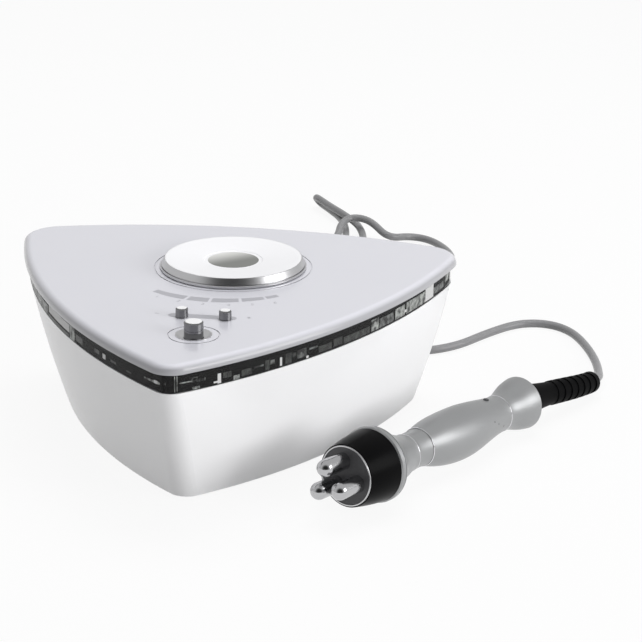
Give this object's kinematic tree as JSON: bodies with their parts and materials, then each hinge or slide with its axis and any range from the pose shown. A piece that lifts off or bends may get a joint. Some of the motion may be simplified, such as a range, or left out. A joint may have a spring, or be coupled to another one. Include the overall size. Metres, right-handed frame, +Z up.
{
  "type": "cavitation radio frequency machine",
  "caption": "Desk-top beauty machine: rounded triangular housing with a turn dial, push buttons, a lamp band and a rear panel, and an electrode handpiece on a flexible lead.",
  "frame": {"origin": "point on the desk in the housing's plane of symmetry, just in front of the middle of the dial's row", "axes": "+Z up, the housing's nose points to -Y, its rear panel faces +Y, and the handpiece lies on its +X side"},
  "size_m": [0.3661, 0.631, 0.1037],
  "materials": {
    "housing_white": "gloss",
    "plate_silver": "gloss",
    "dial_white": "gloss",
    "tinted_insert": "gloss",
    "smoked_clear": "gloss",
    "strip_white": "matte",
    "inner_black": "matte",
    "inlet_black": "matte",
    "rocker_black": "gloss",
    "face_grey": "satin",
    "head_black": "gloss",
    "handle_silver": "gloss",
    "circuit_green": "satin",
    "ferrite": "matte",
    "winding": "satin",
    "black_rubber": "matte",
    "lead_grey": "satin",
    "chrome": "polished",
    "steel": "brushed",
    "aluminium": "satin",
    "brass": "satin"
  },
  "bodies": {
    "machine": {"body_shell": "housing_white", "base_plate": "housing_white", "base_screws": "steel", "rubber_feet": "black_rubber", "light_band": "smoked_clear", "led_strip": "strip_white", "inner_frame": "inner_black", "trim_gasket": "black_rubber", "top_plate": "plate_silver", "control_board": "circuit_green", "board_screws": "steel", "key_switches": "inner_black", "dial_encoder": "aluminium", "start_dish": "chrome", "board_standoffs": "brass", "main_board": "circuit_green", "rf_transformer": "ferrite", "rf_winding": "winding", "heat_sink": "aluminium", "supply_module": "steel", "capacitors": "inner_black", "mains_inlet": "inlet_black", "power_switch_frame": "inlet_black", "handpiece_socket": "steel", "lead_plug": "steel", "plug_boot": "black_rubber", "head_face": "face_grey", "face_trim": "chrome", "electrodes": "chrome", "head_cone": "head_black", "head_core": "inner_black", "head_bell": "handle_silver", "neck_collar": "handle_silver", "handle_shell": "handle_silver", "handle_board": "circuit_green", "tail_bell": "handle_silver", "strain_relief": "black_rubber", "handpiece_lead": "lead_grey"},
    "dial": {"dial_ring": "chrome", "dial_cap": "dial_white", "dial_window": "tinted_insert", "dial_shaft": "steel"},
    "mode_left": {"mode_button_left": "chrome", "mode_stem_left": "inner_black"},
    "mode_right": {"mode_button_right": "chrome", "mode_stem_right": "inner_black"},
    "start": {"start_button": "chrome", "start_stem": "inner_black"},
    "rocker": {"power_rocker": "rocker_black"}
  },
  "joints": [
    {"name": "dial_turn", "type": "hinge", "parent": "machine", "child": "dial", "pos_m": [0.0048, 0.0055, 0.0957], "axis": [0, 0, -1], "range_deg": [0, 280]},
    {"name": "mode_left_press", "type": "slide", "parent": "machine", "child": "mode_left", "axis": [0, 0, -1], "range_m": [0, 0.0012], "stiffness_N_per_m": 400, "springref_m": -0.001},
    {"name": "mode_right_press", "type": "slide", "parent": "machine", "child": "mode_right", "axis": [0, 0, -1], "range_m": [0, 0.0012], "stiffness_N_per_m": 400, "springref_m": -0.001},
    {"name": "start_press", "type": "slide", "parent": "machine", "child": "start", "axis": [0, 0, -1], "range_m": [0, 0.0012], "stiffness_N_per_m": 400, "springref_m": -0.001},
    {"name": "power_tilt", "type": "hinge", "parent": "machine", "child": "rocker", "pos_m": [-0.012, 0.08, 0.038], "axis": [1, 0, 0], "range_deg": [0, 18]}
  ]
}
